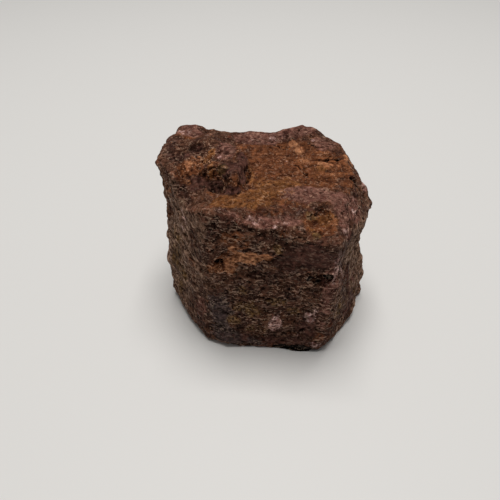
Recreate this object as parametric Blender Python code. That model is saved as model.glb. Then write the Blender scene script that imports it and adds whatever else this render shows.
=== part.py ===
"""A rough, opaque ruby crystal: one stubby hexagonal prism of corundum that stands on its broken foot.

Metres, +Z up. The origin is under the middle of the crystal's box, on the face it stands on.
The front face looks towards -Y. The crystal grew as one piece, so it is one object.
"""

import bmesh
import bpy
import numpy as np
from mathutils import Vector, noise

# Driving dimensions of the prism.
HEAD_HEIGHT = 0.0465  # standing face to the middle of the head
GRAIN = 0.0007  # spacing of the points that the relief is worked into
EDGE_WEAR = 8  # rounds of smoothing that wear the edges to a radius of about 1.5 mm
TRIANGLES = 9400  # what the finished solid may hold

# The six upright edges, anticlockwise from the left one: foot corner, then head corner.
CORNERS = {
    "left": ((-0.0317, 0.0008), (-0.0320, 0.0008)),
    "front_left": ((-0.0170, -0.0214), (-0.0180, -0.0176)),
    "front_right": ((0.0168, -0.0232), (0.0148, -0.0228)),
    "right": ((0.0310, 0.0008), (0.0294, 0.0010)),
    "back_right": ((0.0205, 0.0215), (0.0206, 0.0232)),
    "back_left": ((-0.0250, 0.0215), (-0.0276, 0.0228)),
}

# Flat breaks that cut corners off the prism: a point on the break and the way it faces.
BREAKS = {
    "front left edge": ((-0.0164, -0.0192, 0.0200), (-0.46, -0.89, 0.02)),
    "back foot": ((0.0000, 0.0205, 0.0000), (0.00, 0.80, -0.60)),
    "back right edge": ((0.0182, 0.0202, 0.0300), (0.66, 0.75, 0.06)),
    "front right foot": ((0.0163, -0.0214, 0.0000), (0.60, -0.80, -0.15)),
    "front of right shoulder": ((0.0216, -0.0004, 0.0460), (0.72, -0.225, 0.655)),
    "back of right shoulder": ((0.0216, 0.0060, 0.0465), (0.80, 0.09, 0.60)),
}

# Heights of the head above the standing face, at places on it.
HEAD_HEIGHTS = {
    (-0.0305, 0.0005): 0.0485,
    (-0.0275, 0.0205): 0.0496,
    (-0.0215, 0.0220): 0.0495,
    (-0.0180, -0.0165): 0.0472,
    (-0.0180, -0.0080): 0.0470,
    (-0.0240, -0.0090): 0.0442,
    (-0.0208, -0.0140): 0.0452,
    (-0.0120, -0.0200): 0.0462,
    (-0.0020, -0.0220): 0.0442,
    (0.0060, -0.0226): 0.0432,
    (0.0145, -0.0225): 0.0442,
    (0.0170, -0.0180): 0.0436,
    (-0.0020, -0.0150): 0.0452,
    (0.0100, -0.0100): 0.0458,
    (0.0000, 0.0000): 0.0460,
    (-0.0110, 0.0222): 0.0470,
    (-0.0010, 0.0224): 0.0472,
    (0.0030, 0.0120): 0.0466,
    (0.0075, 0.0228): 0.0483,
    (0.0120, 0.0225): 0.0491,
    (0.0180, 0.0205): 0.0487,
    (0.0195, 0.0100): 0.0466,
    (0.0200, 0.0000): 0.0455,
    (0.0290, 0.0010): 0.0452,
    (0.0210, 0.0135): 0.0468,
}

# Soft swells (+) and hollows (-) of the sides: centre, reach in x, y and z, and height.
SWELLS = {
    "left waist": ((-0.0300, 0.0005, 0.0380), (0.011, 0.012, 0.0130), -0.0020),
    "left flank": ((-0.0300, 0.0005, 0.0290), (0.010, 0.011, 0.0110), -0.0014),
    "left lump": ((-0.0300, -0.0015, 0.0185), (0.004, 0.005, 0.0050), 0.0003),
    "left notch": ((-0.0298, -0.0020, 0.0110), (0.004, 0.005, 0.0030), -0.0010),
    "right waist": ((0.0285, -0.0030, 0.0230), (0.012, 0.014, 0.0185), -0.0036),
    "right foot": ((0.0240, -0.0110, 0.0050), (0.010, 0.012, 0.0120), 0.0012),
    "left foot": ((-0.0240, -0.0110, 0.0040), (0.009, 0.011, 0.0090), 0.0010),
    "front waist": ((0.0000, -0.0220, 0.0200), (0.020, 0.008, 0.0140), -0.0006),
    "front foot": ((0.0010, -0.0215, 0.0000), (0.012, 0.006, 0.0080), 0.0010),
}

# The knob, a block left standing on the head: its outline seen from above, the level of its top and
# the width of its sloping side, which is steep to the right and soft to the left.
KNOB = [(-0.0180, 0.0190), (-0.0140, 0.0150), (-0.0102, 0.0119), (-0.0064, 0.0058), (-0.0053, 0.0015)]
KNOB += [(-0.0072, -0.0040), (-0.0088, -0.0092), (-0.0135, -0.0078), (-0.0159, -0.0048)]
KNOB += [(-0.0200, -0.0080), (-0.0260, -0.0120), (-0.0400, -0.0120), (-0.0400, 0.0095), (-0.0260, 0.0145)]
KNOB_LEVEL = 0.0505
KNOB_STEEP_SIDE = 0.0017
KNOB_SOFT_SIDE = 0.0070

# Hollows broken out of the head: outline seen from above, depth, and the width of the sloping side.
HOLLOWS = {
    "knob hollow": (
        [(-0.0172, -0.0028), (-0.0140, -0.0016), (-0.0114, -0.0050), (-0.0120, -0.0096), (-0.0168, -0.0082)],
        0.0026,
        0.0014,
    ),
    "shelf": (
        [(0.0080, -0.0164), (0.0114, -0.0116), (0.0154, -0.0148), (0.0138, -0.0260), (0.0090, -0.0260)],
        0.0016,
        0.0007,
    ),
    "low shelf": (
        [(0.0040, -0.0182), (0.0079, -0.0194), (0.0100, -0.0206), (0.0100, -0.0260), (0.0040, -0.0260)],
        0.0012,
        0.0007,
    ),
}

# Cracks and seams: the line they follow, half their width, and their depth.
CRACKS = {
    "head crack": ([(0.0077, 0.0048, 0.0465), (0.0098, -0.0021, 0.0460)], 0.0010, 0.0009),
    "back crack": ([(0.0110, 0.0072, 0.0468), (0.0190, 0.0078, 0.0465)], 0.0009, 0.0008),
    "shoulder groove": ([(0.0238, 0.0050, 0.0430), (0.0262, -0.0020, 0.0385)], 0.0014, 0.0016),
    "rim crack": ([(0.0145, -0.0222, 0.0430), (0.0172, -0.0212, 0.0435)], 0.0008, 0.0008),
}

# Pits in the sides: centre, reach in x, y and z, and depth.
PITS = {
    "wedge pit": ((0.0124, -0.0226, 0.0297), (0.0044, 0.0036, 0.0025), 0.0030),
    "small pit": ((-0.0138, -0.0185, 0.0321), (0.0020, 0.0024, 0.0015), 0.0014),
    "low pit": ((0.0085, -0.0224, 0.0115), (0.0024, 0.0024, 0.0015), 0.0013),
    "right pit": ((0.0218, -0.0130, 0.0255), (0.0026, 0.0030, 0.0030), 0.0014),
    "right low pit": ((0.0225, -0.0125, 0.0130), (0.0026, 0.0030, 0.0022), 0.0012),
}

# The chip broken out from under the front edge of the foot: its two ends, its inner edge and its height.
CHIP_LEFT = 0.0010
CHIP_RIGHT = 0.0150
CHIP_BACK = 0.0175
CHIP_HEIGHT = 0.0022


def ease(value, low, high):
    """0 below low and 1 above high, with a smooth ramp between."""
    t = np.clip((value - low) / (high - low), 0, 1)
    return t * t * (3 - 2 * t)


def prism_blank():
    """The plain six-sided prism, with its corners broken off by flat cuts."""
    bm = bmesh.new()
    foot = [bm.verts.new((x, y, 0)) for (x, y), _ in CORNERS.values()]
    head = [bm.verts.new((x, y, HEAD_HEIGHT)) for _, (x, y) in CORNERS.values()]
    bm.faces.new(foot[::-1])
    bm.faces.new(head)
    for i in range(len(foot)):
        j = (i + 1) % len(foot)
        bm.faces.new((foot[i], foot[j], head[j], head[i]))
    for point, facing in BREAKS.values():
        parts = bm.verts[:] + bm.edges[:] + bm.faces[:]
        cut = bmesh.ops.bisect_plane(bm, geom=parts, plane_co=point, plane_no=Vector(facing), clear_outer=True)
        rim = [e for e in cut["geom_cut"] if isinstance(e, bmesh.types.BMEdge)]
        bmesh.ops.contextual_create(bm, geom=rim)
    bmesh.ops.recalc_face_normals(bm, faces=bm.faces)
    mesh = bpy.data.meshes.new("ruby_crystal")
    bm.to_mesh(mesh)
    bm.free()
    return mesh


def apply_modifier(obj, kind, **settings):
    """Adds a modifier to the object and makes its result the object's own mesh."""
    modifier = obj.modifiers.new(kind, kind)
    for name, value in settings.items():
        setattr(modifier, name, value)
    graph = bpy.context.evaluated_depsgraph_get()
    mesh = bpy.data.meshes.new_from_object(obj.evaluated_get(graph))
    obj.modifiers.clear()
    obj.data = mesh


def points_of(mesh):
    points = np.empty(len(mesh.vertices) * 3)
    mesh.vertices.foreach_get("co", points)
    return points.reshape(-1, 3)


def normals_of(mesh):
    normals = np.empty(len(mesh.vertices) * 3)
    mesh.vertex_normals.foreach_get("vector", normals)
    return normals.reshape(-1, 3)


def move_points(mesh, points):
    mesh.vertices.foreach_set("co", points.ravel())
    mesh.update()


def rough(points, lump, seed):
    """Smooth noise from -1 to 1 at each point. Lump is the size of its lumps along x, y and z."""
    at = points / np.array(lump) + seed * 17.3
    return np.array([noise.noise(Vector(p)) for p in at])


def thin_plate(places, heights):
    """The smoothest sheet through the given heights, as a function of x and y."""
    places, heights = np.array(places), np.array(heights)

    def kernel(a, b):
        r2 = ((a[:, None] - b[None]) ** 2).sum(axis=2)
        return np.where(r2 > 0, r2 * np.log(np.maximum(r2, 1e-30)), 0)

    count = len(places)
    flat = np.column_stack([np.ones(count), places])
    system = np.block([[kernel(places, places), flat], [flat.T, np.zeros((3, 3))]])
    weights = np.linalg.solve(system, np.concatenate([heights, np.zeros(3)]))

    def sheet(xy):
        return kernel(xy, places) @ weights[:count] + weights[count] + xy @ weights[count + 1:]

    return sheet


def lift_head(mesh):
    """Lifts and lowers the head to its heights, and the upper half of the sides with it."""
    points = points_of(mesh)
    sheet = thin_plate(list(HEAD_HEIGHTS), list(HEAD_HEIGHTS.values()))
    share = ease(points[:, 2], 0.4 * HEAD_HEIGHT, 0.97 * HEAD_HEIGHT)
    points[:, 2] += (sheet(points[:, :2]) - HEAD_HEIGHT) * share
    move_points(mesh, points)


def nearness(points, centre, reach):
    """1 at the centre of an ellipsoid, 0 at its skin and beyond."""
    far = np.linalg.norm((points - np.array(centre)) / np.array(reach), axis=1)
    return 1 - ease(far, 0, 1)


def line_distance(points, a, b):
    """Distance of each point from the straight line between a and b."""
    a, b = np.array(a), np.array(b)
    along = np.clip((points - a) @ (b - a) / ((b - a) @ (b - a)), 0, 1)
    return np.linalg.norm(points - (a + along[:, None] * (b - a)), axis=1)


def inside_depth(points, outline):
    """How far each point is inside an outline seen from above; 0 outside it."""
    x, y = points[:, 0], points[:, 1]
    inside = np.zeros(len(points), bool)
    nearest = np.full(len(points), np.inf)
    for (ax, ay), (bx, by) in zip(outline, outline[1:] + outline[:1]):
        level = (ay > y) != (by > y)
        inside ^= level & (x < ax + (y - ay) * (bx - ax) / (by - ay + 1e-12))
        nearest = np.minimum(nearest, line_distance(points[:, :2], (ax, ay), (bx, by)))
    return np.where(inside, nearest, 0)


def stray(points):
    """The points moved a little at random, so that what is drawn with them has the edges of a break."""
    drift = np.column_stack([rough(points, (0.004,) * 3, seed) for seed in (3, 4, 5)])
    return points + 0.0010 * drift


def sideways(mesh):
    """1 where the surface is upright, 0 where it lies level."""
    return 1 - ease(np.abs(normals_of(mesh)[:, 2]), 0.3, 0.8)


def shape_sides(mesh):
    """Swells and hollows the sides, and gives them the thin ledges that run round the prism."""
    points = points_of(mesh)
    out = sum(height * nearness(points, centre, reach) for centre, reach, height in SWELLS.values())
    ledges = 0.00035 * np.tanh(4 * rough(points, (0.010, 0.010, 0.0028), 1))
    waves = 0.0012 * rough(points, (0.011, 0.011, 0.0080), 2)
    out += sideways(mesh) * (ledges + waves)
    move_points(mesh, points + normals_of(mesh) * out[:, None])


def shape_head(mesh):
    """Raises the knob, breaks out the hollows and gives the head its low ridges along X."""
    points = points_of(mesh)
    head = ease(points[:, 2], 0.034, 0.040)
    strayed = stray(points)
    ridges = 0.0003 * np.tanh(4 * rough(points, (0.014, 0.0030, 0.014), 6))
    ridges += 0.0009 * rough(points, (0.010,) * 3, 8)
    points[:, 2] += head * (1 - sideways(mesh)) * ridges
    soft = ease(-points[:, 0], 0.0160, 0.0240)
    side_width = KNOB_STEEP_SIDE + (KNOB_SOFT_SIDE - KNOB_STEEP_SIDE) * soft
    standing = head * ease(inside_depth(strayed, KNOB) / side_width, 0, 1)
    knob_top = KNOB_LEVEL + 0.0016 * rough(points, (0.0045,) * 3, 7)
    points[:, 2] += standing * np.maximum(knob_top - points[:, 2], 0) * (points[:, 2] > 0.043)
    for outline, depth, slope in HOLLOWS.values():
        points[:, 2] -= head * depth * ease(inside_depth(strayed, outline), 0, slope)
    move_points(mesh, points)


def carve_small_forms(mesh):
    """Cuts the cracks and the pits."""
    points = points_of(mesh)
    strayed = stray(points)
    depth = np.zeros(len(points))
    for line, half_width, full_depth in CRACKS.values():
        depth += full_depth * (1 - ease(line_distance(strayed, *line), 0, half_width))
    for centre, reach, full_depth in PITS.values():
        depth += full_depth * nearness(strayed, centre, reach)
    move_points(mesh, points - normals_of(mesh) * depth[:, None])


def finish_foot(mesh):
    """Makes the standing face flat, and breaks the chip out of its front edge."""
    points = points_of(mesh)
    points[points[:, 2] < 0.0006, 2] = 0
    x, y = stray(points)[:, :2].T
    length = ease(x, CHIP_LEFT, CHIP_LEFT + 0.0010) * (1 - ease(x, CHIP_LEFT + 0.0010, CHIP_RIGHT))
    roof = CHIP_HEIGHT * length * ease(-y, CHIP_BACK, CHIP_BACK + 0.0040)
    points[:, 2] = np.maximum(points[:, 2], roof)
    move_points(mesh, points)


def stone():
    material = bpy.data.materials.new("ruby")
    material.use_nodes = True
    shader = material.node_tree.nodes["Principled BSDF"]
    shader.inputs["Base Color"].default_value = (0.090, 0.042, 0.026, 1)
    shader.inputs["Roughness"].default_value = 0.6
    shader.inputs["Metallic"].default_value = 0
    return material


def settle(mesh):
    """Puts the middle of the box over the origin, and the foot exactly on the ground."""
    points = points_of(mesh)
    points[:, :2] -= (points[:, :2].min(axis=0) + points[:, :2].max(axis=0)) / 2
    points[points[:, 2] < 0.00005, 2] = 0
    move_points(mesh, points)


def ruby_crystal():
    crystal = bpy.data.objects.new("ruby_crystal", prism_blank())
    bpy.context.scene.collection.objects.link(crystal)
    apply_modifier(crystal, "REMESH", mode="VOXEL", voxel_size=GRAIN)
    apply_modifier(crystal, "SMOOTH", factor=0.5, iterations=EDGE_WEAR)
    lift_head(crystal.data)
    shape_sides(crystal.data)
    shape_head(crystal.data)
    apply_modifier(crystal, "REMESH", mode="VOXEL", voxel_size=GRAIN)
    carve_small_forms(crystal.data)
    finish_foot(crystal.data)
    triangles = 2 * len(crystal.data.polygons)
    apply_modifier(crystal, "DECIMATE", ratio=TRIANGLES / triangles)
    settle(crystal.data)
    crystal.data.materials.append(stone())
    return crystal


def clear_scene():
    for obj in list(bpy.data.objects):
        bpy.data.objects.remove(obj)


clear_scene()
ruby_crystal()
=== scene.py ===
import bpy
import numpy as np
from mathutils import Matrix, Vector, kdtree, noise


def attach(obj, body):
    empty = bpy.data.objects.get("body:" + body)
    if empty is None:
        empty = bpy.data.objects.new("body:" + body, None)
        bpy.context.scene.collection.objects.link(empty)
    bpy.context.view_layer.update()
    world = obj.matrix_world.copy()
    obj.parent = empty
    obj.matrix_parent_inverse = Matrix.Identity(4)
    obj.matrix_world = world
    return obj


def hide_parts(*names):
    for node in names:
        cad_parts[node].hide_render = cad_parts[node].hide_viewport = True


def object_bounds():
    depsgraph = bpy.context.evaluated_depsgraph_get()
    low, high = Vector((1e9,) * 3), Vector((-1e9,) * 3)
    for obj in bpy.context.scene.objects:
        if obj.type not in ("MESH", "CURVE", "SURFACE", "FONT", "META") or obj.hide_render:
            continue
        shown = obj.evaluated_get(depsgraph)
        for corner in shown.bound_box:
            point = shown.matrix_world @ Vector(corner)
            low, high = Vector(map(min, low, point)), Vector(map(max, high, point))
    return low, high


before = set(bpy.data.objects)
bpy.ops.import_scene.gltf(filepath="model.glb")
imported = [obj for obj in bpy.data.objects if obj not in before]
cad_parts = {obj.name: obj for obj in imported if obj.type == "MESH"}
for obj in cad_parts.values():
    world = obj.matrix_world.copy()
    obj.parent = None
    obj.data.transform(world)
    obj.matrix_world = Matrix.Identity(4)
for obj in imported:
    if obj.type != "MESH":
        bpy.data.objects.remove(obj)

cad_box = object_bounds()

# ---- The crystal ----
# One stubby six-sided prism of opaque ruby: corundum that grew as a single piece, in thin layers
# laid across its length, and broke off its bed at the foot. Lengths in this section are millimetres.

MM = 0.001
POINT_SPACING = 0.41  # between neighbouring points of the finished surface
FACET_WEAR = 5  # rounds of smoothing that take the flat facets out of the rough-cut body
NOISE_REACH = 1.6  # brings Blender's noise out to about -1 and 1
SEED_STEP = 17.3  # how far apart two seeds sample the noise, in lumps


def apply_modifier(piece, kind, **settings):
    """Adds a modifier to the piece and applies it."""
    modifier = piece.modifiers.new(kind.title(), kind)
    for name, value in settings.items():
        setattr(modifier, name, value)
    bpy.ops.object.modifier_apply(modifier=modifier.name)


def points_of(piece):
    points = np.empty(len(piece.data.vertices) * 3)
    piece.data.vertices.foreach_get("co", points)
    return points.reshape(-1, 3) / MM


def normals_of(piece):
    normals = np.empty(len(piece.data.vertices) * 3)
    piece.data.vertex_normals.foreach_get("vector", normals)
    return normals.reshape(-1, 3)


def move_points(piece, points):
    piece.data.vertices.foreach_set("co", (points * MM).ravel())
    piece.data.update()


def ease(value, low, high):
    """0 below low and 1 above high, with a smooth ramp between."""
    t = np.clip((value - low) / (high - low), 0, 1)
    return t * t * (3 - 2 * t)


def rough(points, lump, seed):
    """Smooth noise from -1 to 1 at each point. Lump is the size of its lumps along x, y and z."""
    places = (points / np.array(lump) + seed * SEED_STEP).tolist()
    return NOISE_REACH * np.array([noise.noise(place) for place in places])


def nearness(points, centre, reach):
    """1 at the centre of an ellipsoid, 0 at its skin and beyond."""
    far = np.linalg.norm((points - np.array(centre)) / np.array(reach), axis=1)
    return 1 - ease(far, 0, 1)


bpy.ops.object.select_all(action="DESELECT")
crystal = bpy.data.objects.new("ruby_crystal_stone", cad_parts["ruby_crystal"].data.copy())
bpy.context.scene.collection.objects.link(crystal)
bpy.context.view_layer.objects.active = crystal
crystal.select_set(True)
bpy.ops.object.mode_set(mode="EDIT")
bpy.ops.mesh.select_all(action="SELECT")
bpy.ops.mesh.remove_doubles(threshold=0.001 * MM)
bpy.ops.object.mode_set(mode="OBJECT")
apply_modifier(crystal, "REMESH", mode="VOXEL", voxel_size=POINT_SPACING * MM)
apply_modifier(crystal, "SMOOTH", factor=0.5, iterations=FACET_WEAR)


def line_distance(points, start, end):
    """Distance of each point from the straight line between two ends."""
    start, end = np.array(start), np.array(end)
    along = np.clip((points - start) @ (end - start) / ((end - start) @ (end - start)), 0, 1)
    return np.linalg.norm(points - (start + along[:, None] * (end - start)), axis=1)


def stray(points, drift):
    """The points moved a little at random, so that what is drawn with them has the edges of a break."""
    moves = np.column_stack([rough(points, (2.2,) * 3, seed) for seed in (11, 12, 13)])
    return points + drift * moves


def smoothed(piece, values, rounds):
    """The values, each moved half way to the mean of its neighbours, round after round."""
    edges = np.empty(len(piece.data.edges) * 2, int)
    piece.data.edges.foreach_get("vertices", edges)
    first, second = edges.reshape(-1, 2).T
    count = len(values)
    neighbours = np.bincount(first, minlength=count) + np.bincount(second, minlength=count)
    for _ in range(rounds):
        total = np.empty_like(values)
        for axis in range(values.shape[1]):
            total[:, axis] = np.bincount(first, values[second, axis], count)
            total[:, axis] += np.bincount(second, values[first, axis], count)
        values = 0.5 * values + 0.5 * total / neighbours[:, None]
    return values


# Lumps (+) and dents (-) of the head: middle seen from above, reach in x and y, and height.
HEAD_LUMPS = [
    ((-16.2, -3.4), (2.4, 2.2), 1.4),
    ((-21.2, -1.3), (2.6, 2.4), 0.6),
    ((-19.8, 8.0), (3.4, 3.2), -1.2),
    ((-23.4, 3.0), (2.2, 3.2), -1.0),
    ((-18.2, -2.2), (1.8, 1.6), -0.7),
    ((-15.9, 1.6), (1.6, 2.2), -0.9),
    ((-15.4, 9.0), (1.8, 2.6), -0.8),
    ((-18.5, 20.5), (3.4, 4.0), -1.2),
    ((-5.5, 20.0), (5.0, 4.0), 0.8),
    ((-26.0, 10.0), (3.0, 5.0), 0.5),
    ((8.0, 20.5), (8.5, 4.5), 1.9),
    ((20.0, 19.5), (4.5, 3.5), -0.9),
    ((13.5, 10.5), (7.0, 2.6), 0.7),
    ((13.0, 16.5), (6.0, 2.4), 0.4),
    ((8.4, 12.0), (1.8, 4.0), 0.5),
    ((15.0, 4.0), (4.6, 3.0), 0.5),
    ((10.0, -2.0), (1.4, 1.2), -0.4),
    ((19.2, 5.0), (1.8, 1.8), 0.6),
    ((12.0, -9.2), (5.5, 2.6), 0.5),
    ((3.0, -6.0), (7.0, 2.2), 0.25),
]

# The nose of the knob stands up as a steep-sided block: its outline seen from above, in order round it.
NOSE = [
    (-13.4, 8.0), (-9.6, 7.8), (-7.2, 4.6), (-6.3, 1.4), (-6.5, -2.6),
    (-7.3, -6.2), (-9.4, -9.0), (-11.4, -7.6), (-12.0, -4.6), (-13.6, -2.4),
]
NOSE_RISE = 0.9  # above the knob behind it
NOSE_TOP = 50.9

# Flakes broken off the head: middle of the curved step that each left, its reach in x and y, and its depth.
# The floor of a flake rises to nothing at its front end.
FLAKES = [
    ((12.4, -16.6), (4.4, 4.0), 0.25),
]

# The dark recess under the front edge of the foot: its middle, its reach in x, y and z, and how far
# the lip above it comes down.
RECESS = ((6.6, -22.0, 1.6), (9.5, 4.0, 3.6))
RECESS_HEIGHT = 3.6

# Places that swell out (+) or lie in (-): middle, reach in x, y and z, and height.
SWELLINGS = [
    ((26.8, 2.8, 40.8), (2.4, 3.6, 2.6), 1.1),
    ((-30.0, 4.5, 49.6), (4.5, 8.0, 4.0), 0.9),
    ((-28.6, 11.5, 49.6), (3.0, 5.0, 3.0), 0.5),
    ((-28.0, 14.8, 49.4), (2.6, 3.6, 2.6), 0.9),
    ((28.4, -1.2, 18.0), (4.0, 5.0, 6.0), -0.8),
]

# Pits: middle, reach in x, y and z, and depth.
PITS = [
    ((-14.0, -6.2, 46.6), (2.0, 1.6, 2.0), 0.6),
    ((-11.4, -7.8, 46.2), (1.6, 1.2, 1.6), 0.7),
    ((-15.9, -2.3, 50.9), (0.8, 0.8, 1.2), 0.7),
    ((-17.4, -4.2, 49.4), (1.0, 0.8, 1.2), 0.6),
    ((-12.5, 0.0, 51.0), (0.8, 0.8, 1.2), 0.7),
    ((-6.6, -1.0, 48.2), (1.0, 1.2, 1.2), 0.4),
    ((-5.9, 0.6, 46.9), (0.8, 0.8, 1.0), 0.6),
    ((-13.6, -17.4, 31.8), (1.5, 2.0, 1.0), 1.8),
    ((-5.8, -20.2, 26.3), (1.1, 1.5, 0.7), 1.3),
    ((-5.0, -19.4, 43.2), (1.7, 1.2, 0.6), 0.9),
    ((12.8, -22.0, 29.9), (3.0, 2.0, 1.1), 0.9),
    ((13.4, -22.0, 29.0), (1.7, 2.0, 0.9), 1.2),
    ((2.3, -20.7, 36.3), (1.3, 1.5, 0.9), 0.9),
    ((12.0, -21.9, 41.6), (0.9, 1.2, 0.8), 0.9),
    ((20.0, -16.0, 26.8), (1.1, 1.2, 1.0), 1.1),
    ((18.0, -21.2, 23.6), (1.1, 1.2, 0.9), 0.9),
    ((-18.4, -17.9, 28.2), (0.9, 1.2, 1.3), 1.0),
    ((-17.4, -18.3, 16.2), (1.0, 1.2, 0.9), 1.0),
    ((-21.4, -13.2, 19.1), (1.1, 1.2, 0.8), 0.8),
    ((5.7, -21.6, 7.9), (1.4, 1.2, 0.6), 1.1),
    ((9.6, -21.7, 8.4), (1.2, 1.2, 0.6), 1.0),
    ((6.9, -21.7, 11.6), (0.7, 1.2, 1.0), 1.0),
    ((-0.5, -20.6, 20.2), (1.7, 1.2, 0.6), 0.9),
    ((4.4, -21.4, 6.6), (1.0, 1.2, 0.6), 0.8),
    ((-26.5, -6.5, 27.0), (1.2, 1.4, 1.0), 0.9),
    ((-24.5, -8.5, 12.5), (1.4, 1.4, 0.9), 0.9),
    ((-23.0, -11.0, 35.0), (1.2, 1.2, 0.9), 0.8),
]

# Cracks: the line they follow, half their width, and their depth.
CRACKS = [
    ([(7.0, 5.6, 46.5), (8.6, 3.8, 46.2), (9.8, 1.8, 45.8)], 0.60, 1.1),
    ([(12.4, 7.7, 46.4), (16.3, 7.8, 46.2), (19.0, 8.2, 46.2), (21.9, 9.8, 45.9)], 0.55, 1.1),
    ([(11.5, 14.6, 47.7), (14.5, 12.8, 47.5), (18.0, 11.4, 47.2), (21.6, 12.0, 46.0)], 0.45, 0.55),
    ([(1.7, 16.4, 46.4), (3.9, 14.8, 46.4), (6.1, 13.6, 46.5)], 0.45, 0.6),
    ([(-4.2, 1.3, 46.5), (2.9, 1.0, 46.0), (9.8, 1.0, 45.6)], 0.40, 0.25),
    ([(-5.6, 3.5, 47.0), (-5.4, 0.0, 46.8), (-6.3, -4.6, 47.0), (-8.6, -9.2, 46.8)], 0.70, 0.6),
    (
        [(22.3, 1.5, 45.0), (23.4, 0.6, 43.6), (24.3, -0.1, 42.5), (25.1, -1.2, 41.3), (26.3, -0.8, 39.2)],
        0.90, 1.4,
    ),
    ([(9.4, -19.4, 43.0), (10.8, -18.4, 42.8), (12.0, -19.6, 42.5)], 0.50, 0.4),
    ([(1.9, -21.9, 0.7), (6.4, -22.6, 0.7), (10.8, -23.3, 0.8), (13.4, -22.4, 0.8)], 1.20, 0.6),
    ([(6.0, -18.4, 43.9), (7.6, -19.6, 43.3)], 0.45, 0.5),
    ([(6.3, -20.4, 42.3), (7.8, -21.0, 42.0)], 0.45, 0.45),
    ([(14.0, -20.8, 42.4), (15.9, -20.6, 42.6)], 0.50, 0.6),
    ([(1.0, -19.6, 43.0), (1.3, -20.0, 38.0), (0.6, -20.2, 33.0)], 0.50, 0.35),
    ([(4.0, -20.8, 40.6), (8.0, -21.8, 41.2), (11.5, -22.2, 41.4)], 0.40, 0.45),
    (
        [
            (9.3, -21.5, 31.0), (11.0, -21.8, 29.6), (13.2, -22.0, 28.9),
            (14.9, -22.0, 29.6), (15.8, -21.8, 30.8),
        ],
        0.75, 1.4,
    ),
]


# Parts of the surface that are worn or broken in their own way: middle, and reach in x, y and z.
KNOB = ((-20, 3, 50), (19, 19, 7))
FRONT_RIM = ((-8, -18, 44), (18, 5, 7))
SMOOTH_PATCH = ((9, -22, 37), (10, 7, 8))
SHOULDER = ((28, 2, 40.5), (6, 7, 5))
ROUNDED_RIM = ((-10, -19, 45.5), (15, 6, 6))
ROUNDED_SHELF = ((17, -17, 43), (4, 9, 5))
EDGE_WEAR = 49  # rounds of smoothing of the rounded edges
HEAD_STARTS = (36, 42)  # the head's own surface comes in between these heights


def worked(points, normals):
    """How upright each point's surface is, and whether it lies on the head or under the foot."""
    upright = 1 - ease(np.abs(normals[:, 2]), 0.30, 0.80)
    on_head = ease(normals[:, 2], 0.35, 0.75) * ease(points[:, 2], *HEAD_STARTS)
    under_foot = ease(-normals[:, 2], 0.60, 0.90)
    return upright, on_head, under_foot


# The long edges of the head are worn rounder than the rest.
points = points_of(crystal)
edge = nearness(points, *ROUNDED_RIM) + nearness(points, *ROUNDED_SHELF)
edge = np.clip(1.8 * edge, 0, 1)[:, None]
move_points(crystal, points + edge * (smoothed(crystal, points, EDGE_WEAR) - points))


def inside_distance(places, outline):
    """How far each place lies inside an outline seen from above. Negative outside it."""
    corners = np.array(outline)
    inside = np.zeros(len(places), bool)
    far = np.full(len(places), np.inf)
    for start, end in zip(corners, np.roll(corners, -1, axis=0)):
        far = np.minimum(far, line_distance(places, start, end))
        crosses = (start[1] > places[:, 1]) != (end[1] > places[:, 1])
        rise = end[1] - start[1] or 1.0
        at = start[0] + (places[:, 1] - start[1]) * (end[0] - start[0]) / rise
        inside ^= crosses & (places[:, 0] < at)
    return np.where(inside, far, -far)


# The forms of the head are pushed up and down, and the surface is then meshed evenly again.
points, normals = points_of(crystal), normals_of(crystal)
strayed = stray(points, 0.5)[:, :2]
top = ease(points[:, 2], 40, 44)
for (x, y), (reach_x, reach_y), height in HEAD_LUMPS:
    points[:, 2] += top * height * nearness(strayed, (x, y), (reach_x, reach_y))
nose = top * ease(inside_distance(strayed, NOSE), -0.5, 0.4)
risen = np.minimum(points[:, 2] + NOSE_RISE, NOSE_TOP)
points[:, 2] += nose * np.maximum(risen - points[:, 2], 0)
for (x, y), (reach_x, reach_y), depth in FLAKES:
    across, along = (strayed[:, 0] - x) / reach_x, (strayed[:, 1] - y) / reach_y
    broken_off = ease(1 - np.hypot(across, along), 0, 0.16) * np.clip(0.15 + 1.1 * along, 0, 1)
    points[:, 2] -= top * depth * broken_off
# The lip above the recess at the foot comes down over it.
points[:, 2] -= RECESS_HEIGHT * nearness(points, *RECESS)
move_points(crystal, points)
apply_modifier(crystal, "REMESH", mode="VOXEL", voxel_size=POINT_SPACING * MM)
apply_modifier(crystal, "SMOOTH", factor=0.5, iterations=1)

# Coarse relief: thin layers of growth show as low ledges, level round the sides and along X on the
# head, and the broken surfaces between them are lumpy. The knob is the roughest.
points, normals = points_of(crystal), normals_of(crystal)
upright, head, foot = worked(points, normals)
knob = nearness(points, *KNOB)
rim = nearness(points, *FRONT_RIM)
smooth = np.maximum(nearness(points, *SMOOTH_PATCH), nearness(points, *SHOULDER))
relief = 0.11 * np.tanh(3 * rough(points, (4.5, 4.5, 2.6), 1)) * upright
relief += 0.15 * rough(points, (3.4, 3.4, 2.8), 2) * upright
relief += 0.10 * np.tanh(3 * rough(points, (5, 2.4, 6), 3)) * head
relief += (0.15 + 0.25 * knob + 0.25 * rim) * rough(points, (2.6, 2.6, 2.6), 4) * (1 - foot)
relief += 0.12 * foot * rough(points, (2.4, 2.4, 2.4), 9)
relief *= 1 - 0.6 * smooth
for middle, reach, height in SWELLINGS:
    relief += height * nearness(points, middle, reach)
move_points(crystal, points + normals * relief[:, None])


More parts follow.
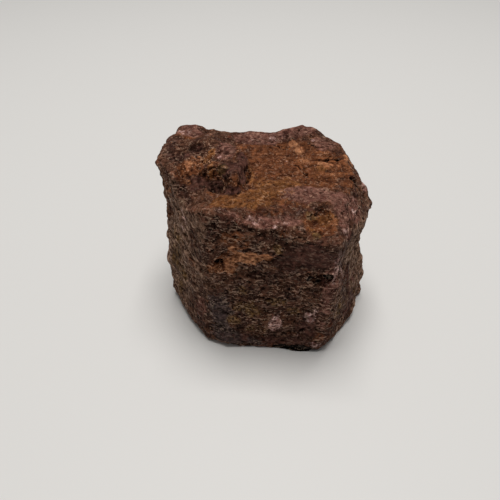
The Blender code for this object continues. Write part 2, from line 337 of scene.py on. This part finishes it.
def worn_in(points):
    """How deep the pits and cracks go at each point."""
    strayed = stray(points, 0.35)
    depth = np.zeros(len(points))
    for centre, reach, full_depth in PITS:
        depth += full_depth * nearness(strayed, centre, reach)
    for line, half_width, full_depth in CRACKS:
        far = np.min([line_distance(strayed, *ends) for ends in zip(line, line[1:])], axis=0)
        depth += full_depth * (1 - ease(far, 0, half_width))
    return depth


points, normals = points_of(crystal), normals_of(crystal)
depth = worn_in(points)
move_points(crystal, points - normals * depth[:, None])


def scatter(piece, count, where, reach, height, flatness, seed):
    """Bumps (+) or pits (-) of random size at random points, flattened along z.

    Where says how likely each point is to be the middle of one.
    """
    points, normals = points_of(piece), normals_of(piece)
    chance = np.random.default_rng(seed)
    squeezed = points * (1, 1, flatness)
    tree = kdtree.KDTree(len(points))
    for index, place in enumerate(squeezed.tolist()):
        tree.insert(place, index)
    tree.balance()
    lift = np.zeros(len(points))
    for centre in chance.choice(len(points), count, replace=False, p=where / where.sum()):
        size = reach * chance.uniform(0.5, 1.5)
        peak = height * chance.uniform(0.4, 1.4)
        for _, index, far in tree.find_range(squeezed[centre], size):
            lift[index] += peak * (1 - (far / size) ** 2) ** 2
    limit = abs(height) * 1.6
    move_points(piece, points + normals * np.clip(lift, -limit, limit)[:, None])


# Fine relief: crumbs standing out, grains fallen out, and thin ledges.
points, normals = points_of(crystal), normals_of(crystal)
upright, head, foot = worked(points, normals)
scatter(crystal, 1500, (0.15 + upright + 0.7 * knob) * (1 - 0.8 * smooth), 0.80, 0.17, 1.2, 21)
scatter(crystal, 1500, (0.10 + upright + 2.0 * knob) * (1 - 0.8 * smooth), 0.75, -0.34, 1.2, 22)
points, normals = points_of(crystal), normals_of(crystal)
relief = (0.07 + 0.07 * upright + 0.08 * knob) * rough(points, (1.4, 1.4, 1.2), 5)
relief += (0.05 + 0.05 * upright + 0.05 * knob) * rough(points, (0.85, 0.85, 0.8), 6)
relief += 0.04 * np.tanh(3 * rough(points, (2.0, 2.0, 0.9), 7)) * upright
relief += 0.04 * np.tanh(3 * rough(points, (2.6, 1.3, 3.0), 8)) * head
move_points(crystal, points + normals * (relief * (1 - foot) * (1 - 0.6 * smooth))[:, None])

# The finished stone keeps within its overall size, and stands flat.
EASE_IN = 0.9  # over this last stretch the surface is eased towards the limit


def held_below(values, limit):
    """The values, eased so that none of them passes the limit."""
    over = np.maximum(values - (limit - EASE_IN), 0) / EASE_IN
    return np.where(over > 0, limit - EASE_IN + EASE_IN * np.tanh(over), values)


points = points_of(crystal)
lowest, highest = (np.array(corner) / MM for corner in cad_box)
for axis in range(3):
    points[:, axis] = held_below(points[:, axis], highest[axis])
for axis in range(2):
    points[:, axis] = -held_below(-points[:, axis], -lowest[axis])
points[:, 2] = np.maximum(points[:, 2], 0)
move_points(crystal, points)

bpy.ops.object.shade_smooth()


# What the eye needs to know about each point of the surface: whether it lies on the head, how far it lies in
# a hollow or stands on a ridge, and which stains, minerals and painted shadow lie on it.
def write_values(piece, name, values):
    layer = piece.data.attributes.new(name, "FLOAT", "POINT")
    layer.data.foreach_set("value", np.clip(values, 0, 1).astype(np.float32))


def hollowness(piece, rounds, depth):
    """0 on a ridge, 0.5 on the flat and 1 in a hollow that is depth millimetres deep."""
    points = points_of(piece)
    lift = ((smoothed(piece, points, rounds) - points) * normals_of(piece)).sum(axis=1)
    return 0.5 + 0.5 * lift / depth


def patches(points, spots):
    """A soft patch of the given strength round each centre, out to its reach."""
    left = np.ones(len(points))
    for centre, reach, strength in spots:
        far = np.linalg.norm((points - np.array(centre)) / np.array(reach), axis=1)
        left *= 1 - strength * (1 - ease(far, 0.35, 1.15))
    return 1 - left


# Every stain and mineral, and the painted shadow, each with its patches: centre, reach and strength, in
# millimetres.
STAINS_AND_SHADE = {
    # weathered sides, olive to grey
    "crust": [
        ((-29, -6, 26), (13, 14, 34), 0.85),
        ((-23, -10.5, 38), (4, 4.5, 10), 0.90),
        ((-21.6, -13.5, 30), (3, 4, 5), 0.75),
        ((19.5, -19, 14), (2.4, 3, 6), 0.60),
        ((28, -6, 20), (13, 17, 30), 0.74),
        ((-19, -17, 24), (5, 6, 26), 0.47),
        ((-18.5, -16, 42), (4, 4, 5), 0.60),
        ((22, -12, 34), (6, 8, 9), 0.75),
        ((0, 26, 24), (40, 10, 34), 0.52),
    ],
    # iron stain of the head
    "rust": [
        ((3, 2, 47), (34, 24, 8), 0.70),
        ((3, 6, 46), (16, 12, 8), 0.60),
        ((12, -17.5, 44), (6, 5, 5), 0.85),
        ((-9, -19, 40), (6, 4, 5), 0.60),
        ((-15, -14.5, 45.5), (3.4, 2.6, 3), 0.55),
        ((2.5, -20.5, 42.5), (2.6, 3, 1.8), 0.70),
        ((13, -22, 6), (4, 4, 5), 0.45),
        ((-21, -14, 28), (3, 3, 2), 0.60),
        ((-11.5, -18.5, 32), (4, 4, 4.5), 0.85),
        ((-15, -18.5, 30), (2.6, 3, 2.6), 0.80),
        ((16, 5, 46.4), (8, 5, 4), 0.70),
        ((-21, -3, 50), (5, 7, 4), 0.70),
        ((-23, 17, 50), (6, 5, 4), 0.60),
        ((-17.5, -18.5, 16), (2.5, 3, 2), 0.60),
        ((27.5, -2, 42), (3, 4, 3), 0.70),
        ((-28.6, -1.0, 38), (3, 4, 10), 0.60),
        ((-27.0, -5, 44), (3, 5, 4), 0.50),
        ((-12, 22, 30), (9, 5, 8), 0.60),
        ((14, 22, 38), (8, 5, 6), 0.60),
    ],
    # brighter, more yellow stain
    "ochre": [
        ((-6, -11, 46.5), (9, 4.5, 5), 0.85),
        ((-12, -13, 46.5), (4.4, 3.2, 4), 0.75),
        ((2, -3, 46), (9, 6, 5), 0.55),
        ((13.6, -15.4, 44.2), (4.2, 2.6, 3), 1.00),
        ((-16.6, 0.5, 50.4), (2.6, 5, 3), 0.60),
        ((1.5, -6.5, 46), (9, 4.5, 5), 0.85),
        ((10, -19, 43), (3, 1.6, 2.5), 0.60),
        ((-15.8, 5.2, 50.4), (1.8, 3.0, 3), 0.80),
        ((-15.4, -3.0, 49.4), (2.0, 2.2, 3), 0.70),
        ((-5.4, 0, 46.6), (1.6, 6, 3), 0.60),
        ((14, 4, 46), (5, 2.6, 4), 0.50),
    ],
    # greyish purple ruby showing through, and painted highlight along the front right edge
    "plum": [
        ((10, -8, 46), (10, 4.6, 5), 0.90),
        ((-3, -17.6, 45), (7, 2.8, 3), 0.80),
        ((4, -17.0, 45), (5, 2.6, 3), 0.80),
        ((-3, 19, 47), (10, 4.0, 5), 1.00),
        ((8, 20.5, 48.5), (8, 4.0, 5), 0.90),
        ((-9.6, -17.2, 46.2), (3.8, 2.0, 2), 0.45),
        # painted highlight along the front right edge, with the rose patch at the same place
        ((15.4, -22.0, 30), (3.0, 3, 11), 0.95),
        ((16, 14, 48), (6, 5, 4), 0.60),
        ((-12.0, 5.6, 50.5), (3.8, 7.5, 4), 0.90),
        ((18, -12, 45), (4, 8, 4), 0.70),
        ((22, -9, 42), (4, 6, 4.5), 0.85),
        ((19, -19, 27), (3, 4, 4), 0.60),
        ((26, -6, 14), (5, 6, 7), 0.50),
        ((18, -16.5, 41), (3, 4.5, 4), 0.80),
        ((-20, -17, 12), (4, 4, 8), 0.55),
        ((-23, 19, 50), (7, 5, 5), 0.75),
        ((14.5, -22, 17), (2.6, 4, 12), 0.60),
        ((6, 23, 20), (10, 5, 9), 0.65),
        ((-22, 20, 16), (7, 6, 8), 0.60),
    ],
    # smooth and dark
    "dusk": [
        ((10, -22, 37), (8, 6, 6), 0.90),
        ((3, -20.5, 34), (5, 4, 4), 0.60),
        ((-10.6, -8.2, 47.2), (4.2, 2.0, 2.0), 1.00),
        ((-10.4, -3.0, 49.8), (4.4, 5.0, 3), 0.75),
        ((-11.0, 4.0, 50.6), (4.0, 5.0, 3), 0.40),
        ((22, -14, 16), (5, 6, 6), 0.50),
        ((-4, 23, 10), (10, 5, 6), 0.55),
        ((20, 20, 24), (6, 6, 8), 0.55),
        ((-7.4, 0.8, 49.4), (2.4, 6.4, 3.0), 0.95),
        ((-7.6, -4.5, 49.0), (2.0, 3.2, 2.4), 1.00),
        ((-14.0, -5.2, 46.6), (3.0, 2.2, 2.2), 0.90),
        ((-19.6, 8.0, 50.4), (3.4, 3.0, 3), 0.32),
        ((-23.4, 3.0, 50.6), (2.6, 3.6, 3), 0.40),
        ((-18, -6, 48), (4, 3, 4), 0.50),
        ((-13.8, -20.5, 14), (3.0, 4, 4.5), 0.90),
        ((-10, -21, 4), (9, 4, 3.0), 0.80),
        ((5, -21, 3.5), (9, 4, 2.4), 0.70),
        ((-1, -20, 28.5), (9, 4, 2.4), 0.50),
        ((-22, 5, 50.5), (8, 10, 4), 0.28),
        ((-22, -6, 47), (6, 5, 4), 0.40),
        ((-28.6, -1.0, 38), (2.8, 3.4, 9), 0.45),
        ((10, -22, 8), (5, 4, 9), 0.65),
        ((-27.5, -4.0, 21), (3, 4, 6), 0.45),
        ((19.8, -16.5, 37.0), (2.4, 4, 3.6), 0.55),
        ((21.6, -13.2, 23.7), (2.4, 4, 3.2), 0.80),
        ((24.0, -11.6, 7.6), (3.4, 5, 6), 0.75),
        ((26.5, -8, 10), (4, 6, 7), 0.50),
        ((-28, -4, 16), (3.4, 3.4, 4), 0.55),
    ],
    # cold and dark, by the foot
    "slate": [
        ((-14, -20, 14), (6, 4, 9), 0.80),
        ((-13, -20.5, 5), (6, 4, 5), 0.75),
        ((-6, -21, 2.5), (8, 4, 3), 0.60),
        ((-21, -17, 8), (4, 4, 7), 0.45),
    ],
    # painted shadow, near black: in the recess under the front of the foot and in the wedge pit on the front
    "shade": [
        ((4.5, -22.3, 0.5), (4.5, 3, 2.3), 1.00),
        ((9.5, -23.0, 0.7), (5.0, 3, 2.8), 1.00),
        ((13.8, -22.8, 0.2), (3.0, 3, 1.8), 0.80),
        ((9.9, -21.5, 29.3), (1.5, 1.8, 0.9), 0.95),
        ((12.0, -21.6, 28.1), (1.6, 1.8, 0.6), 0.60),
        ((14.3, -21.4, 29.6), (2.6, 1.8, 1.3), 1.00),
    ],
    # moss-coloured weathering of the front
    "olive": [
        ((-6, -20.5, 16), (6, 4, 4), 0.55),
        ((-10, -20.5, 11.5), (3, 4, 3), 0.66),
        ((6.5, -20.8, 15.5), (3, 4, 2.4), 0.70),
        ((-4, -20.7, 8), (4, 4, 3), 0.60),
        ((2, -20.5, 19), (4, 4, 2.4), 0.60),
        ((-8, -20, 23), (5, 4, 2.6), 0.50),
        ((1.5, -20, 38), (2.2, 3, 2), 0.60),
        ((-12.6, -3.0, 49.8), (3.0, 3.0, 2.6), 0.55),
        ((9.6, -15.0, 44.8), (2.4, 1.8, 2), 0.80),
        ((10.7, -20.2, 42.5), (1.6, 1.8, 1.4), 0.85),
        ((20, -17, 14), (4, 6, 8), 0.50),
        ((-26, -7, 30), (5, 6, 8), 0.55),
        ((-27, -5, 20), (5, 5, 9), 0.60),
        ((-25, -9, 17), (4, 5, 8), 0.50),
        ((-27, -5, 8), (4, 4, 7), 0.55),
        ((22, -14, 30), (4, 6, 6), 0.45),
        ((25, -6, 12), (4, 6, 9), 0.50),
        ((-20, 21, 34), (7, 6, 6), 0.50),
        ((16, 22, 10), (7, 5, 5), 0.50),
    ],
    # bare pale brown patches
    "tan": [
        ((-1.4, -19.6, 35.0), (2.4, 4, 2.2), 1.00),
        ((-4.4, -19.1, 34.5), (3.4, 4, 2.8), 1.00),
        ((-7.4, -18.6, 33.8), (3.0, 4, 2.8), 0.90),
        ((-9.7, -18.6, 36.8), (2.0, 4, 1.8), 0.75),
        ((-10.9, -18.1, 31.8), (2.4, 4, 2.8), 0.80),
        ((-10.4, -18.5, 29.3), (2.4, 4, 1.8), 0.65),
        ((-14.6, -18.5, 29.8), (2.4, 4, 1.8), 0.60),
        ((6.8, 15.6, 47.5), (1.6, 2.2, 4), 0.62),
        ((8.4, 12.4, 47), (1.8, 3.8, 4), 0.68),
        ((10.2, 7.6, 46.6), (1.8, 2.4, 4), 0.60),
        ((15, 5.2, 46.4), (5.4, 2.2, 4), 0.52),
        ((17, 1.6, 46), (3.6, 1.5, 3), 0.46),
        ((22.5, 9.5, 46), (2.6, 3.0, 4), 0.60),
        ((-21.2, -1.3, 51), (2.0, 2.2, 3), 0.65),
        ((-25.5, 18, 50), (2.6, 3.6, 4), 0.36),
        ((-26.5, 11, 49.5), (1.6, 3.6, 4), 0.36),
        ((-16.5, 14, 48.5), (1.8, 2.6, 4), 0.50),
        ((-18.8, 2.4, 51), (1.4, 1.8, 3), 0.55),
        ((-21.5, -5, 49), (2, 4.5, 3), 0.46),
        ((14.6, -15.8, 44), (3.6, 2.2, 2.5), 0.65),
        ((3, -8, 45.6), (7, 3, 3), 0.32),
    ],
    # pale pink mineral, and painted highlight on the front rim and along the front right edge
    "rose": [
        ((1.6, -21.6, 10.4), (2.6, 4, 4.2), 1.00),
        ((11.2, -21.8, 13.9), (2.4, 4, 2.4), 0.85),
        ((12.8, -22.0, 17.5), (1.6, 4, 2.4), 0.35),
        ((9.0, -21.7, 7.0), (2.4, 4, 1.4), 0.25),
        ((13.5, -22, 3.5), (3.4, 4, 3.0), 0.42),
        ((12.8, 15.9, 48.2), (0.7, 0.8, 2), 0.90),
        ((-2, 19.5, 47.5), (10, 3, 3), 0.30),
        # these three patches: painted highlight on the rounded front rim
        ((-4.6, -17.4, 45), (3.4, 1.7, 2), 0.45),
        ((2.6, -17.4, 44.6), (2.0, 1.5, 2), 0.40),
        ((0.4, -19.2, 43.8), (1.4, 1.4, 1.2), 0.40),
        ((26.6, 2.8, 41.2), (2.0, 4.0, 3), 0.50),
        ((-24.5, 18, 50.4), (3.4, 3.4, 3), 0.50),
        ((22.5, -8, 42), (3, 5, 3), 0.26),
        ((18, -17, 41.5), (2.4, 4, 3), 0.32),
        ((-22.6, -10.8, 39), (2.4, 3, 7), 0.42),
        ((18.5, -17.5, 31), (2, 4, 8), 0.42),
        ((-13.5, 2.1, 50.8), (0.8, 0.8, 1.5), 0.85),
        # painted highlight along the front right edge
        ((16.2, -21.4, 33), (1.3, 3, 10), 0.62),
        ((23, -11, 42.6), (2.6, 3.4, 2.0), 0.55),
    ],
}

DIRT_AND_SHADE_DEPTH = 1.2  # a pit or crack this deep gets the darkest painted shade, partly dirt

points, normals = points_of(crystal), normals_of(crystal)
knob = nearness(points, *KNOB)
layered = ease(normals[:, 2], 0.2, 0.9) * ease(points[:, 2], *HEAD_STARTS) * (1 - 0.8 * knob)
write_values(crystal, "head", layered)
write_values(crystal, "flank", ease(np.abs(normals[:, 0]), 0.5, 0.8) * (1 - ease(knob, 0.2, 0.6)))
write_values(crystal, "knob", knob)
write_values(crystal, "fine_hollow", hollowness(crystal, 3, 0.123))
write_values(crystal, "wide_hollow", hollowness(crystal, 33, 0.9))
write_values(crystal, "worn_in", depth / DIRT_AND_SHADE_DEPTH)
for name, spots in STAINS_AND_SHADE.items():
    write_values(crystal, name, patches(points, spots))


def node(tree, kind, inputs=None, **settings):
    """A new node. Settings are its options; an input gets a value, or the socket that feeds it."""
    made = tree.nodes.new(kind)
    for name, value in settings.items():
        setattr(made, name, value)
    for name, value in (inputs or {}).items():
        if isinstance(value, bpy.types.NodeSocket):
            tree.links.new(value, made.inputs[name])
        else:
            made.inputs[name].default_value = value
    return made


def new_group(name, inputs, outputs):
    """A shader node group with the named sockets. Returns its tree, its input node and its output node."""
    tree = bpy.data.node_groups.new(name, "ShaderNodeTree")
    for side, sockets in (("INPUT", inputs), ("OUTPUT", outputs)):
        for socket, kind in sockets:
            tree.interface.new_socket(name=socket, in_out=side, socket_type="NodeSocket" + kind)
    return tree, tree.nodes.new("NodeGroupInput"), tree.nodes.new("NodeGroupOutput")


def use_group(tree, group, inputs):
    return node(tree, "ShaderNodeGroup", inputs, node_tree=group)


def ramp(tree, value, low, high, bottom=0.0, top=1.0):
    """The value from low to high as a smooth ramp from bottom to top."""
    inputs = {"Value": value, "From Min": low, "From Max": high, "To Min": bottom, "To Max": top}
    return node(tree, "ShaderNodeMapRange", inputs, interpolation_type="SMOOTHSTEP").outputs["Result"]


def sums(tree, operation, first, second):
    return node(tree, "ShaderNodeMath", {0: first, 1: second}, operation=operation).outputs[0]


def mixed(tree, share, under, over):
    """One colour laid over another."""
    inputs = {0: share, 6: under, 7: over}
    return node(tree, "ShaderNodeMix", inputs, data_type="RGBA").outputs[2]


def stretched(tree, place, scale):
    return node(tree, "ShaderNodeMapping", {"Vector": place, "Scale": scale}).outputs["Vector"]


def mottle(tree, place, size, seed, detail=4.0, roughness=0.6):
    """Fractal noise from about 0.2 to 0.8, with lumps of the given size in millimetres."""
    inputs = {"Vector": place, "W": seed, "Scale": 1 / (size * MM), "Detail": detail, "Roughness": roughness}
    return node(tree, "ShaderNodeTexNoise", inputs, noise_dimensions="4D").outputs["Fac"]


def paint(red, green, blue):
    """The colour of a dry sample as it is read off a screen, from 0 to 255, as reflected light."""
    share = np.array([red, green, blue]) / 255
    return (*np.where(share <= 0.04045, share / 12.92, ((share + 0.055) / 1.055) ** 2.4).tolist(), 1.0)


# A stain, or a patch of painted shadow, that ends in a ragged edge and thins out to specks.
stain_group, stain_in, stain_out = new_group(
    "ragged_stain", [("Place", "Vector"), ("Strength", "Float"), ("Raggedness", "Float")], [("Mask", "Float")]
)
broken = mottle(stain_group, stain_in.outputs["Place"], 3.6, 1.0, 7.0, 0.75)
broken = sums(stain_group, "MULTIPLY", sums(stain_group, "SUBTRACT", broken, 0.5), 2.0)
broken = sums(stain_group, "MULTIPLY", broken, stain_in.outputs["Raggedness"])
stained = sums(stain_group, "ADD", stain_in.outputs["Strength"], broken)
stain_group.links.new(ramp(stain_group, stained, 0.36, 0.66), stain_out.inputs["Mask"])

# The small relief of a broken face: rounded grains with gaps between them where others fell out, and
# short low ridges left by the layers of growth. They are level on the front, lean back on the flanks
# and run every way on the head.
relief_group, relief_in, relief_out = new_group(
    "small_relief",
    [("Place", "Vector"), ("Head", "Float"), ("Flank", "Float"), ("Size", "Float")],
    [("Crest", "Float"), ("Gap", "Float"), ("Height", "Float")],
)
LEVEL_GRAIN = (0.48, 0.48, 1.25)  # how densely the ridges lie along x, y and z: long and level here
HEAD_GRAIN = (0.82, 0.90, 0.85)
FLANK_GRAIN = (2.7, 0.70, 0.70)  # their length and widths here, along the direction that they lean in
FLANK_LEAN = (0.0, -0.71, 1.02)  # that direction, as angles in radians
per_metre = sums(relief_group, "DIVIDE", 1 / MM, relief_in.outputs["Size"])
ridges = []
level_place = stretched(relief_group, relief_in.outputs["Place"], LEVEL_GRAIN)
head_place = stretched(relief_group, relief_in.outputs["Place"], HEAD_GRAIN)
apart = node(relief_group, "ShaderNodeSeparateXYZ", {0: relief_in.outputs["Place"]})
outward = sums(relief_group, "ABSOLUTE", apart.outputs["X"], 0.0)
both_flanks = {0: outward, 1: apart.outputs["Y"], 2: apart.outputs["Z"]}
flank_place = node(relief_group, "ShaderNodeCombineXYZ", both_flanks).outputs[0]
leaning = {"Vector": flank_place, "Rotation": FLANK_LEAN, "Scale": FLANK_GRAIN}
flank_place = node(relief_group, "ShaderNodeMapping", leaning, vector_type="TEXTURE").outputs["Vector"]
for ridge_place in (level_place, flank_place, head_place):
    bent = {"Vector": ridge_place, "Scale": per_metre, "Detail": 1.5, "Roughness": 0.6, "Distortion": 0.8}
    ridges.append(node(relief_group, "ShaderNodeTexNoise", bent).outputs["Fac"])
level, leant, along = ridges
sides = node(relief_group, "ShaderNodeMix", {0: relief_in.outputs["Flank"], 2: level, 3: leant}).outputs[0]
ridges = node(relief_group, "ShaderNodeMix", {0: relief_in.outputs["Head"], 2: sides, 3: along}).outputs[0]
grains = []
for grain_place in (relief_in.outputs["Place"], flank_place):
    lumpy = {"Vector": grain_place, "Scale": per_metre, "Detail": 2.0, "Roughness": 0.6, "Distortion": 0.5}
    grains.append(node(relief_group, "ShaderNodeTexNoise", lumpy).outputs["Fac"])
on_sides, on_flanks = grains
both_grains = {0: relief_in.outputs["Flank"], 2: on_sides, 3: on_flanks}
grains = node(relief_group, "ShaderNodeMix", both_grains).outputs[0]
crest = ramp(relief_group, ridges, 0.55, 0.60)
gap = ramp(relief_group, grains, 0.45, 0.36)
height = sums(relief_group, "ADD", ridges, grains)
height = sums(relief_group, "ADD", height, sums(relief_group, "MULTIPLY", crest, 0.15))
height = sums(relief_group, "SUBTRACT", height, sums(relief_group, "MULTIPLY", gap, 0.35))
for socket, value in (("Crest", crest), ("Gap", gap), ("Height", height)):
    relief_group.links.new(value, relief_out.inputs[socket])

stone = bpy.data.materials.new("ruby_stone")
stone.use_nodes = True
tree = stone.node_tree
shader = tree.nodes["Principled BSDF"]
place = node(tree, "ShaderNodeTexCoord").outputs["Object"]


COARSE_SIZE = 1.7  # of the larger grains and gaps, in millimetres
FINE_SIZE = 0.66
BUMP_DEPTH = 0.45


def value_of(name):
    return node(tree, "ShaderNodeAttribute", attribute_name=name).outputs["Fac"]


def stain(name, raggedness, fineness):
    where = stretched(tree, place, (fineness,) * 3)
    inputs = {"Place": where, "Strength": value_of(name), "Raggedness": raggedness}
    return use_group(tree, stain_group, inputs).outputs["Mask"]


fine_hollow, wide_hollow = value_of("fine_hollow"), value_of("wide_hollow")
on_head = value_of("head")
kind = {"Place": place, "Head": sums(tree, "MAXIMUM", on_head, value_of("knob")), "Flank": value_of("flank")}
coarse = use_group(tree, relief_group, {**kind, "Size": COARSE_SIZE})
fine = use_group(tree, relief_group, {**kind, "Size": FINE_SIZE})
clouds = mottle(tree, place, 5.0, 2.0)
blotches = mottle(tree, place, 1.3, 3.0)

# The stone itself is brown with russet and ashen parts, and the stains and the painted shadow lie on it.
colour = mixed(tree, ramp(tree, clouds, 0.40, 0.62), paint(68, 42, 33), paint(94, 62, 46))
russet = ramp(tree, mottle(tree, place, 3.0, 4.0, 6.0, 0.7), 0.54, 0.64, 0.0, 0.4)
colour = mixed(tree, russet, colour, paint(118, 64, 42))
ashen = ramp(tree, mottle(tree, place, 2.2, 5.0, 6.0, 0.7), 0.55, 0.66, 0.0, 0.6)
colour = mixed(tree, ashen, colour, paint(128, 102, 92))
masks = {}
for name, raggedness, fineness, dark, light in (
    ("crust", 1.0, 1.0, paint(98, 71, 56), paint(142, 110, 91)),
    ("rust", 1.0, 1.0, paint(92, 52, 31), paint(126, 76, 46)),
    ("ochre", 1.2, 1.3, paint(104, 62, 33), paint(136, 88, 50)),
    ("dusk", 1.0, 1.0, paint(67, 40, 34), paint(93, 60, 50)),
    ("slate", 1.3, 1.4, paint(60, 48, 46), paint(92, 73, 70)),
    ("olive", 1.4, 1.3, paint(68, 46, 28), paint(124, 92, 58)),
    ("plum", 1.0, 1.0, paint(96, 60, 51), paint(134, 93, 80)),
    ("tan", 1.2, 1.7, paint(152, 96, 64), paint(192, 134, 96)),
    ("rose", 1.5, 1.8, paint(136, 94, 86), paint(214, 178, 170)),
    # shade: painted shadow, near black, in the recess under the foot and in the wedge pit
    ("shade", 0.25, 1.5, paint(20, 14, 12), paint(34, 23, 19)),
):
    masks[name] = stain(name, raggedness, fineness)
    shades = mixed(tree, ramp(tree, blotches, 0.36, 0.64), dark, light)
    colour = mixed(tree, masks[name], colour, shades)

# Fine red veins run through the stain of the head.
veins = mottle(tree, stretched(tree, place, (0.7, 1.1, 1.0)), 1.0, 8.0, 6.0, 0.7)
veins = sums(tree, "MULTIPLY", ramp(tree, veins, 0.50, 0.62, 0.0, 0.45), on_head)
colour = mixed(tree, veins, colour, paint(84, 40, 26))

# Gaps, hollows, pits and cracks get painted shade, partly dark dirt, and crests get painted highlight, partly
# rubbed pale. The sides show it most, and the smooth dusky parts least.
smooth_stains = sums(tree, "MAXIMUM", masks["dusk"], masks["tan"])
shows_by_place = ramp(tree, on_head, 0.0, 1.0, 1.0, 0.45)
shows_by_stain = ramp(tree, smooth_stains, 0.0, 1.0, 1.0, 0.35)
shows = sums(tree, "MULTIPLY", shows_by_place, shows_by_stain)


def darkened(shade, where, share):
    """The shade, taken down by a share of itself, in full on the sides and less on the head."""
    loss = sums(tree, "MULTIPLY", sums(tree, "MULTIPLY", where, shows), share)
    return sums(tree, "MULTIPLY", shade, sums(tree, "SUBTRACT", 1.0, loss))


shade = ramp(tree, mottle(tree, place, 2.2, 6.0), 0.35, 0.65, 0.80, 1.18)
# Painted shade, partly dirt, in the gaps between grains and in small and wide hollows; painted highlight on
# small ridges.
shade = darkened(shade, coarse.outputs["Gap"], 0.40)
shade = darkened(shade, fine.outputs["Gap"], 0.85)
shade = sums(tree, "MULTIPLY", shade, ramp(tree, fine_hollow, 0.10, 0.90, 1.45, 0.38))
shade = sums(tree, "MULTIPLY", shade, ramp(tree, wide_hollow, 0.30, 1.00, 1.10, 0.75))
# Painted shade, partly dirt, in the pits and cracks, darker the deeper they go.
shade = sums(tree, "MULTIPLY", shade, ramp(tree, value_of("worn_in"), 0.06, 0.85, 1.0, 0.12))
# What is darker is redder too.
redder = {0: shade, 1: (1.0, 1.09, 1.16), 2: (0.0, -0.09, -0.16)}
redder = node(tree, "ShaderNodeVectorMath", redder, operation="MULTIPLY_ADD").outputs[0]
redder = node(tree, "ShaderNodeVectorMath", {0: redder, 1: (0.0, 0.0, 0.0)}, operation="MAXIMUM").outputs[0]
shaded = node(tree, "ShaderNodeVectorMath", {0: colour, 1: redder}, operation="MULTIPLY").outputs[0]
# The crests get painted highlight, partly rubbed pale: the colour made much lighter and mixed with cream.
rubbed_and_glint = node(tree, "ShaderNodeVectorMath", {0: colour, "Scale": 2.9}, operation="SCALE").outputs[0]
rubbed_and_glint = mixed(tree, 0.42, rubbed_and_glint, paint(206, 178, 154))
crests = sums(tree, "MULTIPLY", fine.outputs["Crest"], shows)
crests = sums(tree, "MULTIPLY", crests, ramp(tree, mottle(tree, place, 3.0, 7.0), 0.38, 0.60, 0.35, 1.30))
crests = sums(tree, "MULTIPLY", crests, sums(tree, "SUBTRACT", 1.0, fine.outputs["Gap"]))
colour = mixed(tree, sums(tree, "MULTIPLY", crests, 0.78), shaded, rubbed_and_glint)

# Pale specks, the smallest that can be seen: painted glints, partly pale crumbs.
crumbs_and_glints = ramp(tree, mottle(tree, place, 0.5, 9.0, 1.0, 0.5), 0.66, 0.72, 0.0, 0.75)
colour = mixed(tree, sums(tree, "MULTIPLY", crumbs_and_glints, shows), colour, paint(176, 150, 126))
tree.links.new(colour, shader.inputs["Base Color"])

tree.links.new(ramp(tree, fine.outputs["Crest"], 0.0, 1.0, 0.80, 0.50), shader.inputs["Roughness"])
shader.inputs["Specular IOR Level"].default_value = 0.08

height = sums(tree, "ADD", coarse.outputs["Height"], sums(tree, "MULTIPLY", fine.outputs["Height"], 0.5))
height = sums(tree, "MULTIPLY", height, ramp(tree, masks["dusk"], 0.0, 1.0, 1.0, 0.5))
bump = node(tree, "ShaderNodeBump", {"Strength": 1.0, "Distance": BUMP_DEPTH * MM, "Height": height})
tree.links.new(bump.outputs["Normal"], shader.inputs["Normal"])
crystal.data.materials.clear()
crystal.data.materials.append(stone)
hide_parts("ruby_crystal")
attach(crystal, "root")

# ---- The ground, light and camera ----
# A pale matt sheet under soft light from above and behind.

bpy.ops.mesh.primitive_plane_add(size=4)
ground = bpy.context.object
ground.name = "ground"
paper = bpy.data.materials.new("pale_sheet")
paper.use_nodes = True
paper_shader = paper.node_tree.nodes["Principled BSDF"]
paper_shader.inputs["Base Color"].default_value = (0.79, 0.785, 0.775, 1)
paper_shader.inputs["Roughness"].default_value = 0.6
ground.data.materials.append(paper)

world = bpy.data.worlds.new("room")
bpy.context.scene.world = world
world.use_nodes = True
world.node_tree.nodes["Background"].inputs["Color"].default_value = (1.0, 0.99, 0.97, 1)
world.node_tree.nodes["Background"].inputs["Strength"].default_value = 0.15


def lamp(name, place, size, power, colour):
    """A soft square panel of light that faces the crystal."""
    light = bpy.data.lights.new(name, "AREA")
    light.size = size
    light.energy = power
    light.color = colour
    panel = bpy.data.objects.new(name, light)
    panel.location = place
    panel.rotation_euler = (Vector((0, 0, 0.02)) - Vector(place)).to_track_quat("-Z", "Y").to_euler()
    bpy.context.scene.collection.objects.link(panel)


lamp("overhead_panel", place=(0.005, 0.12, 1.00), size=0.52, power=8.3, colour=(1.0, 0.98, 0.95))

CAMERA_PLACE = (-0.00545, -0.10631, 0.11539)
CAMERA_TILT = 48.0  # degrees up from straight down
CAMERA_LENS = 33.71
camera_data = bpy.data.cameras.new("camera")
camera_data.lens = CAMERA_LENS
camera_data.sensor_width = 36
camera_data.clip_start = 0.001
camera = bpy.data.objects.new("camera", camera_data)
camera.location = CAMERA_PLACE
camera.rotation_euler = (np.radians(CAMERA_TILT), 0, 0)
bpy.context.scene.collection.objects.link(camera)
bpy.context.scene.camera = camera
bpy.context.scene.view_settings.view_transform = "Standard"
